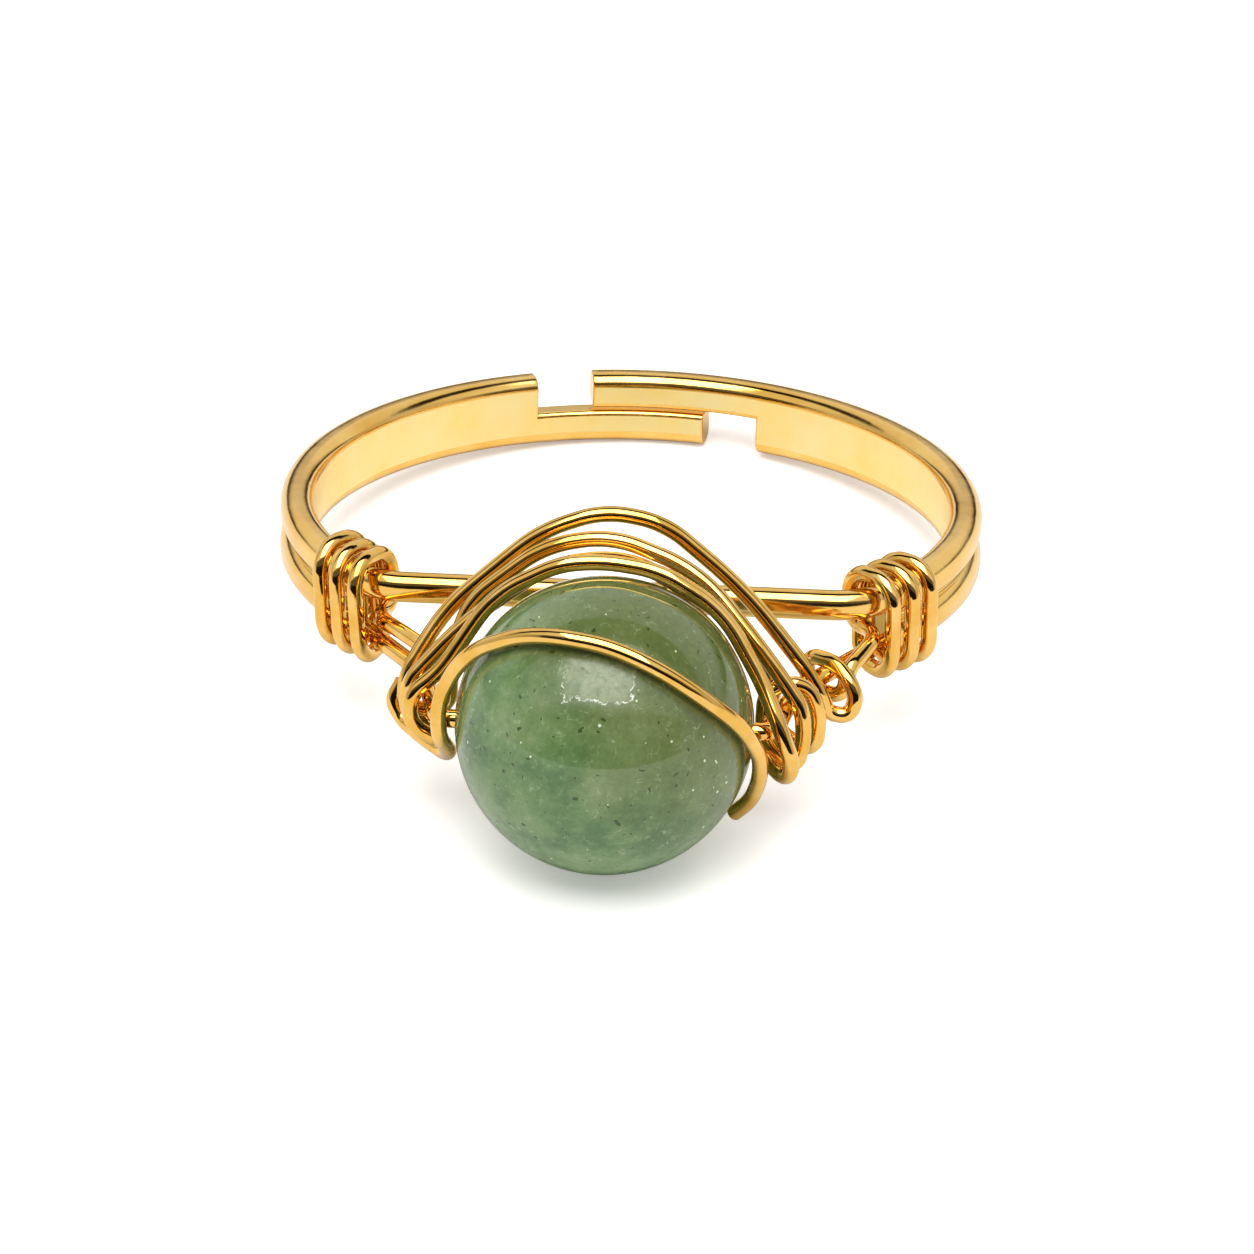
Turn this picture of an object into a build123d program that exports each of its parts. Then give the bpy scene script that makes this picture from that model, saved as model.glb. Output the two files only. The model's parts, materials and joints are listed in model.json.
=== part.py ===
from build123d import *
import os
from math import asin, atan2, cos, degrees, hypot, pi, radians, sin, tan

# A wire-wrapped ring: an open adjustable band, a drilled round bead and two thin wires.
# The ring is drawn in its own frame, with the ring's axis along local Z, the bead to the
# front at local -Y and the opening of the band at local +Y. That frame is then tilted, so
# that the ring rests on the bead in front and on the back of its band.

# Sizes in millimetres, angles in degrees.
inner_diameter = 17.7
band_thickness = 0.92
band_height = 2.05
band_outer_edge = 0.4
band_inner_edge = 0.36
groove_depth = 0.3
groove_gap = 0.1
arm_end_angle = 20.6
tongue_end_angle = 10.3

bead_diameter = 8.0
bead_hole_diameter = 0.8
bead_stand_off = 2.53
bead_drop = 0.77

core_diameter = 0.5
core_root_drop = 0.73
core_knee_stand_off = 1.0
core_knee_set_back = 0.37
core_knee_bend = 4.0
core_stand_off = 0.5
core_bend = 0.5

bar_height = 0.84
bar_depth = 0.74
bar_corner_radius = 0.35
bar_rise = 0.6
bar_set_back = 2.25
bar_bend = 1.8
arm_front_angle = 51.8
root_depth = 0.7

wire_diameter = 0.44
wire_clearance = 0.05
turn_gap = 0.29
right_coil_angle = 52.8
left_coil_angle = 49.3
right_lean = 0.5
left_lean = 1.5
right_skew = 1.2
left_skew = 4.0
coil_turns = 3
right_extra_turns = 0.25
left_extra_turns = 0.25
coil_slack = 0.14
fork_drop = 0.12
bend_share = 0.45

# Derived sizes.
inner_radius = inner_diameter / 2
outer_radius = inner_radius + band_thickness
middle_radius = inner_radius + band_thickness / 2
half_height = (band_height - groove_gap) / 2
half_middle = (groove_gap + half_height) / 2
bead_radius = bead_diameter / 2
bead_forward = outer_radius + bead_stand_off
core_radius = core_diameter / 2
core_knee_across = bead_radius + core_knee_stand_off
core_knee_forward = outer_radius - core_knee_set_back
bar_forward = inner_radius - bar_set_back
wire_radius = wire_diameter / 2
wire_pitch = wire_diameter + turn_gap
reach = core_radius + wire_clearance + wire_radius
coil_half_angle = degrees(coil_turns * wire_pitch / 2 / middle_radius)
coil_lift = band_height / 2 + coil_slack + wire_radius
coil_inside = inner_radius - coil_slack - wire_radius
coil_outside = outer_radius + coil_slack + wire_radius

# The tilt at which the bead and the bottom edge at the back of the band touch the floor.
edge_reach = outer_radius - band_outer_edge
edge_drop = band_height / 2 - band_outer_edge
lever = bead_forward + edge_reach
step = edge_drop - bead_drop
tilt = asin((bead_radius - band_outer_edge) / hypot(lever, step)) - atan2(step, lever)
ring_height = edge_reach * sin(tilt) + edge_drop * cos(tilt) + band_outer_edge

# The ring's axis stands behind the middle of the whole length, from the bead's front to the
# band's back.
front_reach = bead_forward * cos(tilt) + bead_drop * sin(tilt) + bead_radius
back_reach = edge_reach * cos(tilt) + edge_drop * sin(tilt) + band_outer_edge
ring_set_back = (front_reach - back_reach) / 2
ring_plane = Plane(
    origin=(0, ring_set_back, ring_height),
    x_dir=(1, 0, 0),
    z_dir=(0, sin(tilt), cos(tilt)),
)
ring_axis = Axis(ring_plane.origin, ring_plane.z_dir)


def radial_plane(angle):
    """The plane that holds the ring's axis, with its X pointing outwards at this angle."""
    outward = ring_plane.x_dir * cos(radians(angle)) + ring_plane.y_dir * sin(radians(angle))
    return Plane(origin=ring_plane.origin, x_dir=outward, z_dir=outward.cross(ring_plane.z_dir))


def half_ring(level, start, end):
    """A stretch of one half of the band, above (1) or below (-1) the groove."""
    with BuildSketch(radial_plane(start)) as section:
        with Locations((middle_radius, level * half_middle)):
            Rectangle(band_thickness, half_height)
        fillet(section.vertices().group_by(Axis.X)[-1], radius=band_outer_edge)
        far_corner = section.vertices().group_by(Axis.X)[0].sort_by(Axis.Y)[-1 if level > 0 else 0]
        fillet(far_corner, radius=band_inner_edge)
    revolve(section.sketch, axis=ring_axis, revolution_arc=end - start)


def web(start, end):
    """A stretch of the web that joins both halves behind the groove."""
    web_depth = band_thickness - groove_depth
    with BuildSketch(radial_plane(start)) as section:
        with Locations((inner_radius + web_depth / 2, 0)):
            Rectangle(web_depth, half_height)
    revolve(section.sketch, axis=ring_axis, revolution_arc=end - start)


def mirrored(points):
    """The points of the right side, then the same points on the left side, in order."""
    return points + [(-x, y, z) for x, y, z in reversed(points)]


def pulled_back(point, towards, length):
    """A point that lies behind this one, seen from the point that the wire runs towards."""
    run = Vector(*towards) - Vector(*point)
    return tuple(Vector(*point) - run.normalized() * length)


def tube(points, radii, section):
    """A sweep of a section along straight runs that are joined by tangent arcs."""
    with BuildLine(ring_plane) as path:
        FilletPolyline(*points, radius=radii)
    start = path.line @ 0
    across = ring_plane.z_dir.cross(path.line % 0)
    with BuildSketch(Plane(origin=start, x_dir=across, z_dir=path.line % 0)) as profile:
        section()
    sweep(profile.sketch, path=path.line)


def band_point(angle, radius, rise):
    """A point by its angle from the front, to the right, and its distance from the axis."""
    return (radius * sin(radians(angle)), -radius * cos(radians(angle)), rise)


# The core wire runs from the lower half of each arm forward and through the bead.
core_root = band_point(arm_front_angle, middle_radius, -core_root_drop)
core_knee = (core_knee_across, -core_knee_forward, -(core_root_drop + bead_drop) / 2)
core_corner = (bead_radius + core_stand_off, -bead_forward, -bead_drop)
core_start = pulled_back(core_root, core_knee, root_depth)
core_points = mirrored([core_start, core_knee, core_corner])
core_radii = [core_knee_bend, core_bend, core_bend, core_knee_bend]

# The bar runs from the upper half of each arm straight across behind the bead.
bar_root = band_point(arm_front_angle, middle_radius, bar_rise)
bar_heading = band_point(arm_front_angle - 90, 1, 0)
bar_run = (bar_forward + bar_root[1]) / -bar_heading[1]
bar_corner = (bar_root[0] + bar_run * bar_heading[0], -bar_forward, bar_rise)
bar_start = pulled_back(bar_root, bar_corner, root_depth)
bar_points = mirrored([bar_start, bar_corner])


# The corners of one turn around the arm, as a distance from the ring's axis and a rise.
turn_corners = [
    (coil_inside, coil_lift),
    (coil_inside, -coil_lift),
    (coil_outside, -coil_lift),
    (coil_outside, coil_lift),
]


def coil_points(side, angle, lean, skew, extra_turns):
    """The corners of a coil's turns, from its outer end towards the bead, and of the part of
    a turn that leads on from there. The lean turns the upper corners away from the bead, and
    the skew does so with the inner ones. The last point is the fork, where the wire comes out
    between the bar and the core wire."""
    each_turn = len(turn_corners)
    points = []
    for number in range(1, round(each_turn * (coil_turns + extra_turns))):
        radius, rise = turn_corners[number % each_turn]
        turned = 2 * number / (each_turn * coil_turns) - 1
        aslant = lean * rise / coil_lift + (skew if radius == coil_inside else 0)
        x, y, z = band_point(angle - coil_half_angle * turned + aslant, radius, rise)
        points.append((side * x, y, z))
    x, y, z = band_point(angle - coil_half_angle + skew, coil_inside, -fork_drop)
    return points + [(side * x, y, z)]


def beside_core(side, share, out, up):
    """A place beside the core wire: its share of the way from the arm to the bead's hole,
    then outwards and upwards in reaches, the least distance between both wires' middles."""
    forward = -core_root[1] + share * (bead_forward + core_root[1])
    before_knee = forward < core_knee_forward
    near, far = (core_root, core_knee) if before_knee else (core_knee, core_corner)
    part_way = (forward + near[1]) / (near[1] - far[1])
    run = Vector(*far) - Vector(*near)
    middle = Vector(*near) + run * part_way
    outward = Vector(-run.Y, run.X, 0).normalized()
    place = middle + outward * (out * reach) + Vector(0, 0, up * reach)
    return (side * place.X, place.Y, place.Z)


def beside_bead(across, forward, up):
    """A place by its offset from the middle of the bead, in shares of the bead's radius."""
    return (
        across * bead_radius,
        -bead_forward - forward * bead_radius,
        -bead_drop + up * bead_radius,
    )


def places(rows):
    """The corners of a wire's route, from rows of a rule and its values."""
    rules = {"core": beside_core, "bead": beside_bead}
    return [rules[rule](*values) for rule, *values in rows]


def bends(points):
    """For each corner the widest bend that its two runs allow."""
    radii = []
    for before, corner, after in zip(points, points[1:], points[2:]):
        run_in = Vector(*corner) - Vector(*before)
        run_out = Vector(*after) - Vector(*corner)
        half_turn = radians(run_in.get_angle(run_out)) / 2
        radii.append(bend_share * min(run_in.length, run_out.length) / tan(half_turn))
    return radii


# The thin wires, corner by corner. A "core" row holds the side (1 right, -1 left), the share
# of the core wire's run and the reaches outwards and upwards from it. A "bead" row holds
# shares of the bead's radius to the right, forwards and up from the bead's middle.
first_loop = [
    ("core", 1, 0.13, 0.8, 1.2),
    ("core", 1, 0.345, 1.1, 0.4),
    ("core", 1, 0.37, 1.05, -1.05),
    ("core", 1, 0.38, -1.05, -1.05),
    ("core", 1, 0.40, -1.0, 1.02),
    ("core", 1, 0.425, 1.1, 1.15),
    ("core", 1, 0.44, 2.15, 0.45),
    ("core", 1, 0.44, 2.6, -0.35),
    ("core", 1, 0.455, 2.35, -1.35),
    ("core", 1, 0.50, 1.45, -1.2),
    ("core", 1, 0.53, 1.35, -0.15),
]
highest_strand = [
    ("bead", 1.306, -0.68, 0.19),
    ("bead", 0.884, -0.75, 0.701),
    ("bead", 0.334, -0.78, 1.155),
    ("bead", -0.07, -0.78, 1.225),
    ("bead", -0.501, -0.75, 1.07),
    ("bead", -1.11, -0.70, 0.519),
]
first_left_turn = [
    ("core", -1, 0.665, 1.15, 0.75),
    ("core", -1, 0.67, 1.25, -1.3),
    ("core", -1, 0.685, -1.1, -1.3),
    ("core", -1, 0.70, -1.1, 0.9),
]
upper_pair_first = [
    ("bead", -0.98, -0.62, 0.58),
    ("bead", -0.456, -0.60, 1.03),
    ("bead", -0.009, -0.60, 1.12),
    ("bead", 0.589, -0.50, 0.93),
    ("bead", 1.06, -0.25, 0.44),
]
right_turns = [
    ("core", 1, 0.87, 1.15, 0.75),
    ("core", 1, 0.875, 1.3, -0.9),
    ("core", 1, 0.865, 0.85, -2.8),
    ("core", 1, 0.80, -1.1, -1.6),
    ("core", 1, 0.76, -1.1, 1.15),
    ("core", 1, 0.70, 0.9, 1.25),
    ("core", 1, 0.69, 1.6, -0.3),
    ("core", 1, 0.68, 1.4, -2.9),
    ("core", 1, 0.62, -1.1, -1.8),
    ("core", 1, 0.60, -1.1, 0.8),
]
upper_pair_second = [
    ("bead", 1.00, -0.64, 0.36),
    ("bead", 0.62, -0.56, 0.70),
    ("bead", 0.10, -0.47, 1.03),
    ("bead", -0.42, -0.46, 0.95),
    ("bead", -0.98, -0.42, 0.52),
]
second_left_turn = [
    ("core", -1, 0.76, 1.2, 0.7),
    ("core", -1, 0.76, 1.2, -1.2),
    ("core", -1, 0.78, -0.4, -1.9),
    ("core", -1, 0.885, -0.4, -1.9),
    ("core", -1, 0.87, 1.2, -1.0),
    ("core", -1, 0.88, 1.2, 0.7),
]
lowest_strand = [
    ("bead", -1.10, -0.22, 0.27),
    ("bead", -0.766, -0.28, 0.80),
    ("bead", -0.333, -0.25, 1.045),
    ("bead", -0.035, -0.25, 1.075),
    ("bead", 0.335, -0.20, 1.045),
    ("bead", 0.76, -0.15, 0.80),
    ("bead", 1.05, 0.00, 0.34),
    ("bead", 1.17, 0.14, 0.10),
]
right_end = [
    ("bead", 1.27, 0.16, -0.16),
    ("core", 1, 1.0, 0.75, -2.6),
    ("core", 1, 0.88, -0.9, -2.0),
]
strut_run = [
    ("core", -1, 0.193, 0.0, 1.16),
    ("core", -1, 0.345, -0.1, 1.25),
    ("core", -1, 0.52, -0.15, 1.3),
]
tucked_tail = [
    ("core", -1, 0.50, 0.90, -0.55),
    ("core", -1, 0.49, 1.45, -1.6),
    ("core", -1, 0.56, 1.1, -2.6),
    ("core", -1, 0.70, 0.3, -2.75),
    ("core", -1, 0.84, -0.75, -2.9),
]
front_strand = [
    ("bead", -1.04, -0.12, -0.285),
    ("bead", -1.10, 0.15, -0.06),
    ("bead", -1.10, 0.15, 0.20),
    ("bead", -0.98, 0.20, 0.47),
    ("bead", -0.83, 0.30, 0.65),
    ("bead", -0.55, 0.47, 0.82),
    ("bead", -0.30, 0.60, 0.88),
    ("bead", 0.05, 0.68, 0.86),
    ("bead", 0.38, 0.72, 0.73),
    ("bead", 0.69, 0.68, 0.51),
    ("bead", 0.93, 0.50, 0.25),
    ("bead", 1.055, 0.28, -0.06),
    ("bead", 1.05, 0.16, -0.28),
    ("bead", 0.99, 0.02, -0.49),
    ("bead", 0.88, -0.10, -0.64),
]

wrap_rows = (
    first_loop + highest_strand + first_left_turn + upper_pair_first + right_turns
    + upper_pair_second + second_left_turn + lowest_strand + right_end
)
right_coil = (right_coil_angle, right_lean, right_skew, right_extra_turns)
wrap_points = coil_points(1, *right_coil) + places(wrap_rows)
wrap_radii = bends(wrap_points)
left_coil = (left_coil_angle, left_lean, left_skew, left_extra_turns)
strut_points = coil_points(-1, *left_coil) + places(strut_run)
strut_radii = bends(strut_points)
front_points = places(tucked_tail + front_strand)
front_radii = bends(front_points)

bar_radii = [bar_bend, bar_bend]


def core_section():
    """The core wire's round section."""
    Circle(core_radius)


def bar_section():
    """The bar's rounded section, deep across the ring's axis and tall along it."""
    RectangleRounded(bar_depth, bar_height, bar_corner_radius)


def wire_section():
    """The thin wires' round section."""
    Circle(wire_radius)


def check_length(name, solid, points, radii, area):
    """Print how a swept wire's volume compares with its section times its length."""
    with BuildLine() as path:
        FilletPolyline(*points, radius=radii)
    length = path.wire().length
    print(f"{name}: length {length:.2f} mm, volume ratio {solid.volume / (area * length):.4f}")


with BuildPart() as band:
    half_ring(1, arm_front_angle - 90, 90 + tongue_end_angle)
    half_ring(-1, arm_front_angle - 90, 90 - arm_end_angle)
    web(arm_front_angle - 90, 90 - arm_end_angle)
    tube(core_points, core_radii, core_section)
    tube(bar_points, bar_radii, bar_section)
    half_ring(1, 90 + arm_end_angle, 270 - arm_front_angle)
    half_ring(-1, 90 - tongue_end_angle, 270 - arm_front_angle)
    web(90 + arm_end_angle, 270 - arm_front_angle)

bead_middle = ring_plane.from_local_coords((0, -bead_forward, -bead_drop))
with BuildPart() as bead:
    with BuildSketch(Plane(origin=bead_middle, x_dir=(1, 0, 0), z_dir=ring_plane.z_dir)):
        Circle(bead_radius)
        with Locations((0, bead_hole_diameter / 2)):
            Rectangle(
                2 * bead_diameter,
                bead_diameter,
                align=(Align.CENTER, Align.MAX),
                mode=Mode.SUBTRACT,
            )
    revolve(axis=Axis(bead_middle, (1, 0, 0)))

with BuildPart() as wrap_wire:
    tube(wrap_points, wrap_radii, wire_section)

with BuildPart() as strut_wire:
    tube(strut_points, strut_radii, wire_section)

with BuildPart() as front_wire:
    tube(front_points, front_radii, wire_section)

wire_area = pi * wire_radius**2
check_length("wrap_wire", wrap_wire.part, wrap_points, wrap_radii, wire_area)
check_length("strut_wire", strut_wire.part, strut_points, strut_radii, wire_area)
check_length("front_wire", front_wire.part, front_points, front_radii, wire_area)

os.makedirs("parts", exist_ok=True)
band.part.label = "band"
export_step(band.part, "parts/band.step")
bead.part.label = "bead"
export_step(bead.part, "parts/bead.step")
wrap_wire.part.label = "wrap_wire"
export_step(wrap_wire.part, "parts/wrap_wire.step")
strut_wire.part.label = "strut_wire"
export_step(strut_wire.part, "parts/strut_wire.step")
front_wire.part.label = "front_wire"
export_step(front_wire.part, "parts/front_wire.step")
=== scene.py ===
# %% [markdown]
# A wire-wrapped ring with one green stone bead, dressed in Blender.
#
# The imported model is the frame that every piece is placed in. It is loaded first and never
# moved. Its bodies, its boxes and its record then tell each piece where it belongs.

# %% Load the frame
import bmesh
import bpy
import json
from math import asin, cos, degrees, hypot, pi, radians, sin, tan
from mathutils import Matrix, Vector


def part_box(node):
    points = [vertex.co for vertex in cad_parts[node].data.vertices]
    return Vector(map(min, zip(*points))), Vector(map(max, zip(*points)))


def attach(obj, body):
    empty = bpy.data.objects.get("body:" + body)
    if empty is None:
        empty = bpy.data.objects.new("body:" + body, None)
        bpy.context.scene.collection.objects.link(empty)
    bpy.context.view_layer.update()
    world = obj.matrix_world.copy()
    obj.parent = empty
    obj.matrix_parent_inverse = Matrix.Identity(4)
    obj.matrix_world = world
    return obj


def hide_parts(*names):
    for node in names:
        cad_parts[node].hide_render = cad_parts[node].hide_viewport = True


MM = 0.001
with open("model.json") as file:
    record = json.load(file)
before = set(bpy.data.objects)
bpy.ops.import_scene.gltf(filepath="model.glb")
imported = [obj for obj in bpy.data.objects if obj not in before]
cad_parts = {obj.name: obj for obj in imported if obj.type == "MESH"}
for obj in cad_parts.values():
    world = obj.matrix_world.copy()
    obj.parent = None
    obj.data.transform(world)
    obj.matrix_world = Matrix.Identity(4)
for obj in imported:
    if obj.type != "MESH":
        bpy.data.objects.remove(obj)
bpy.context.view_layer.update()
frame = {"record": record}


# %% [markdown]
# The ring leans: it rests on the bead in front and on the back of its band. Its pieces are
# easier to draw in the ring's own frame, with the finger's axis along Z and the bead towards
# -Y, in millimetres. One matrix then takes them to the row's frame, in metres. The record
# holds the finger's axis as a mount, so the lean is read from there and not guessed again.

# %% The ring's own frame
finger = frame["record"]["mounts"][0]
ring_axis = Vector(finger["axis"]).normalized()
ring_right = Vector((1, 0, 0))
ring_back = ring_axis.cross(ring_right)
ring_turn = Matrix((ring_right, ring_back, ring_axis)).transposed().to_4x4()
ring_place = Matrix.Translation(finger["pos_m"]) @ ring_turn @ Matrix.Scale(MM, 4)
print("the finger's axis leans", round(degrees(ring_axis.angle((0, 0, 1))), 2), "degrees")


# %% [markdown]
# These are the sizes that the maker would call out for the ring: the band, the drilled bead,
# the thick core wire that carries the bead, the bar behind it and the thin binding wire. They
# are the CAD model's sizes, in millimetres and degrees, so nothing has to be fitted later.

# %% Sizes of the ring
inner_diameter = 17.7
band_thickness = 0.92
band_height = 2.05
band_outer_edge = 0.4
band_inner_edge = 0.36
groove_depth = 0.3
groove_gap = 0.1
arm_end_angle = 20.6
tongue_end_angle = 10.3
bead_hole_diameter = 0.8
bead_stand_off = 2.53
bead_drop = 0.77
core_diameter = 0.5
core_root_drop = 0.73
core_knee_stand_off = 1.0
core_knee_set_back = 0.37
core_knee_bend = 4.0
core_stand_off = 0.5
core_bend = 0.5
bar_height = 0.84
bar_depth = 0.74
bar_corner_radius = 0.35
bar_rise = 0.6
bar_set_back = 2.25
bar_bend = 1.8
arm_front_angle = 51.8
root_depth = 0.7
wire_diameter = 0.44
wire_clearance = 0.05
turn_gap = 0.29
right_coil_angle = 52.8
left_coil_angle = 49.3
right_lean = 0.5
left_lean = 1.5
right_skew = 1.2
left_skew = 4.0
coil_turns = 3
right_extra_turns = 0.25
left_extra_turns = 0.25
coil_slack = 0.14
fork_drop = 0.12
bend_share = 0.45

bead_low, bead_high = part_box("bead")
bead_radius = (bead_high.y - bead_low.y) / MM / 2
inner_radius = inner_diameter / 2
outer_radius = inner_radius + band_thickness
middle_radius = inner_radius + band_thickness / 2
half_height = (band_height - groove_gap) / 2
bead_forward = outer_radius + bead_stand_off
core_radius = core_diameter / 2
core_knee_across = bead_radius + core_knee_stand_off
core_knee_forward = outer_radius - core_knee_set_back
bar_forward = inner_radius - bar_set_back
wire_radius = wire_diameter / 2
reach = core_radius + wire_clearance + wire_radius
coil_half_angle = degrees(coil_turns * (wire_diameter + turn_gap) / 2 / middle_radius)
coil_lift = band_height / 2 + coil_slack + wire_radius
coil_inside = inner_radius - coil_slack - wire_radius
coil_outside = outer_radius + coil_slack + wire_radius
print("bead radius", round(bead_radius, 3), "outer radius of the band", outer_radius)


# %% [markdown]
# The camera comes early, because it decides what shows. The photograph is taken from in front
# and above with a long lens: parallel edges hardly converge. A long focal length far away
# gives that look. The camera aims a little in front of the ring, so no lens shift is needed.
# Its angles are in degrees, its distances in metres, the lens and the frame in millimetres.

# %% Camera
view_rise = 32.67
view_side = 2.94
view_roll = 0.86
view_distance = 0.24486
view_aim = Vector((0.00023, -0.00255, 0.003))
view_lens = 257.4
frame_width = 36.0
seen_from, seen_to = 0.01, 5.0

look_back = Vector((
    sin(radians(view_side)) * cos(radians(view_rise)),
    -cos(radians(view_side)) * cos(radians(view_rise)),
    sin(radians(view_rise)),
))
camera = bpy.data.objects.new("camera", bpy.data.cameras.new("camera"))
camera.data.lens = view_lens
camera.data.sensor_width = frame_width
camera.data.clip_start = seen_from
camera.data.clip_end = seen_to
camera.location = view_aim + look_back * view_distance
level_turn = (-look_back).to_track_quat("-Z", "Y").to_matrix()
camera.rotation_euler = (level_turn @ Matrix.Rotation(radians(view_roll), 3, "Z")).to_euler()
bpy.context.scene.collection.objects.link(camera)
bpy.context.scene.camera = camera
print("camera at", [round(x, 4) for x in camera.location])


# %% [markdown]
# Every finish is made of nodes, and so is the tent around the table. These helpers keep that
# short. One adds a node and sets its plain values, one feeds a socket, one reckons with
# numbers, one makes a mask that fades from 0 to 1, and one lays a colour over another.

# %% Helpers for nodes
def add_node(tree, kind, **values):
    """A new node in a tree, with its plain settings and the values of named sockets."""
    node = tree.nodes.new(kind)
    for name, value in values.items():
        if hasattr(node, name):
            setattr(node, name, value)
        else:
            node.inputs[name.replace("_", " ")].default_value = value
    return node


def feed(tree, value, entry):
    """Give a socket a number, three numbers for a vector or a colour, or a node's output."""
    if isinstance(value, (int, float)):
        entry.default_value = value
    elif isinstance(value, tuple):
        entry.default_value = (*value, 1)[:len(entry.default_value)]
    else:
        tree.links.new(value, entry)


def reckon(tree, operation, *values):
    """A Math node's result. Each value is a number or another node's output."""
    node = add_node(tree, "ShaderNodeMath", operation=operation)
    for value, entry in zip(values, node.inputs):
        feed(tree, value, entry)
    return node.outputs[0]


def fade(tree, value, start, end):
    """A mask that goes from 0 at the start to 1 at the end."""
    node = add_node(tree, "ShaderNodeMapRange", From_Min=start, From_Max=end)
    tree.links.new(value, node.inputs["Value"])
    return node.outputs["Result"]


def blend(tree, share, under, over, most=1.0, blend_type="MIX"):
    """A colour laid over another by a share. A colour is three numbers or an output."""
    node = add_node(tree, "ShaderNodeMix", data_type="RGBA", blend_type=blend_type)
    tree.links.new(reckon(tree, "MULTIPLY", share, most), node.inputs["Factor"])
    feed(tree, under, node.inputs["A"])
    feed(tree, over, node.inputs["B"])
    return node.outputs["Result"]


def grey(brightness):
    """A colour without a tint."""
    return (brightness, brightness, brightness)


# %% [markdown]
# Polished metal shows its surroundings, so the studio is half of the gold's look. One wide
# soft panel overhead makes the white line along each wire. Around it hangs a pale tent, in
# strips that run from left to right: a dim strip behind the camera, dark gaps at both
# horizons and one high up behind the ring. The gaps leave the thin dark lines in the gold. The
# tent could be built of sheets, but as the world's own light it has no edges to hide.

# %% Soft studio light
def soft_light(name, place, aim, size, watts, colour):
    """A square-cornered area light that faces the place it is aimed at, all in metres."""
    data = bpy.data.lights.new(name, "AREA")
    data.shape = "RECTANGLE"
    data.size, data.size_y = size
    data.energy = watts
    data.color = colour
    light = bpy.data.objects.new(name, data)
    light.location = place
    heading = Vector(aim) - Vector(place)
    light.rotation_euler = heading.to_track_quat("-Z", "Y").to_euler()
    bpy.context.scene.collection.objects.link(light)
    return light


panel_place = (-0.01, -0.116, 0.435)
panel_size = (0.41, 0.42)
panel_watts = 2.4
paper_white = (1.0, 0.99, 0.975)
soft_light("key_panel", panel_place, (0, 0, 0), panel_size, panel_watts, paper_white)
print("lights:", [item.name for item in bpy.data.lights])


# %% [markdown]
# Each strip of the tent is an angle over the table, in degrees, and its brightness. The angle
# starts at the near horizon (0), goes over the top (90) and ends at the far horizon (180).
# Between two rows the brightness goes evenly from one to the other.

# %% The tent around the table
tent_strips = (
    (0, 0.01), (22, 0.01), (27, 0.12), (44, 0.12), (50, 0.9), (100, 0.8),
    (103, 0.01), (123, 0.01), (126, 0.8), (165, 0.9), (171, 0.5), (174, 0.03),
)
half_round = 180
tent_end = 0.62
end_from, end_to = 0.80, 0.95


def strip_tent():
    """A tent whose brightness goes by the angle over the table. Both of its ends, at the
    right and at the left, are plain."""
    world = bpy.data.worlds.new("strip_tent")
    world.use_nodes = True
    tree = world.node_tree
    heading = tree.nodes.new("ShaderNodeTexCoord")
    parts = tree.nodes.new("ShaderNodeSeparateXYZ")
    tree.links.new(heading.outputs["Generated"], parts.inputs[0])
    nearness = reckon(tree, "MULTIPLY", parts.outputs["Y"], -1)
    angle = reckon(tree, "ARCTAN2", parts.outputs["Z"], nearness)
    strips = tree.nodes.new("ShaderNodeValToRGB")
    tree.links.new(fade(tree, angle, 0.0, pi), strips.inputs["Fac"])
    stops = strips.color_ramp.elements
    stops.remove(stops[1])
    for turn, brightness in tent_strips:
        stop = stops.new(turn / half_round) if turn else stops[0]
        stop.color = (*grey(brightness), 1)
    aside = reckon(tree, "ABSOLUTE", parts.outputs["X"])
    ends = fade(tree, aside, end_from, end_to)
    tent = blend(tree, ends, strips.outputs["Color"], grey(tent_end))
    tree.links.new(tent, tree.nodes["Background"].inputs["Color"])
    bpy.context.scene.world = world


strip_tent()
bpy.context.scene.view_settings.view_transform = "Standard"
print("strips of the tent:", len(tent_strips))


# %% [markdown]
# A material starts with a Principled shader whose plain values are set. Its patterns are placed
# by the object's own coordinates, in millimetres, so they need no unwrapping and stay put when
# the ring moves. What more than one place uses is a node group with named inputs.

# %% Helpers for materials
def start_material(name, **sockets):
    """A material with a Principled shader whose constant sockets are set."""
    material = bpy.data.materials.new(name)
    material.use_nodes = True
    shader = material.node_tree.nodes["Principled BSDF"]
    for socket, value in sockets.items():
        shader.inputs[socket.replace("_", " ")].default_value = value
    return material, material.node_tree, shader


def in_millimetres(tree, middle=(0, 0, 0)):
    """The object's coordinates in millimetres, counted from a middle given in metres."""
    place = tree.nodes.new("ShaderNodeTexCoord")
    scale = tree.nodes.new("ShaderNodeMapping")
    scale.inputs["Scale"].default_value = (1 / MM, 1 / MM, 1 / MM)
    scale.inputs["Location"].default_value = [-side / MM for side in middle]
    tree.links.new(place.outputs["Object"], scale.inputs["Vector"])
    return scale.outputs["Vector"]


def noise(tree, place, scale, detail, roughness, result="Fac"):
    """A noise over a place: its waves a millimetre, how many finer octaves it has and how
    strong they are. It gives its value, or its colour where that is asked for."""
    node = add_node(tree, "ShaderNodeTexNoise", Detail=detail, Roughness=roughness)
    feed(tree, place, node.inputs["Vector"])
    feed(tree, scale, node.inputs["Scale"])
    return node.outputs[result]


def between(tree, mask, low, high):
    """A value that goes from one number to another as a mask goes from 0 to 1."""
    node = add_node(tree, "ShaderNodeMapRange", To_Min=low, To_Max=high)
    tree.links.new(mask, node.inputs["Value"])
    return node.outputs["Result"]


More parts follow.
